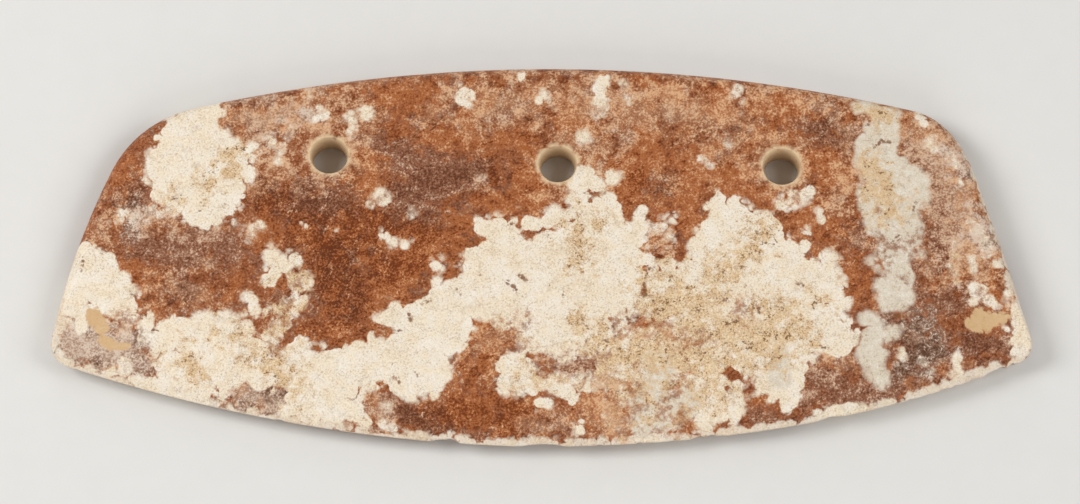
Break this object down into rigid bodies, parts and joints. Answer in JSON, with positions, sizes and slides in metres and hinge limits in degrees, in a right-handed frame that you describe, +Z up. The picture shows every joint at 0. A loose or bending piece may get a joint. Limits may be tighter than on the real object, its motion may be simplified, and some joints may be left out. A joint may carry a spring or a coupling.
{
  "type": "polished stone axe",
  "caption": "Broad thin blade of ground and polished mottled stone with a curved cutting edge and lashing holes below the butt.",
  "frame": {"origin": "middle of the blade's outline box, on the plane of its flat underside", "axes": "+X along the blade, +Y from the cutting edge to the butt, +Z up through the thickness"},
  "size_m": [0.2198, 0.0892, 0.008],
  "materials": {
    "mottled_stone": "ground and polished, satin, with fine pits and worn edges"
  },
  "bodies": {
    "root": {"stone_blade": "mottled_stone"}
  },
  "joints": []
}
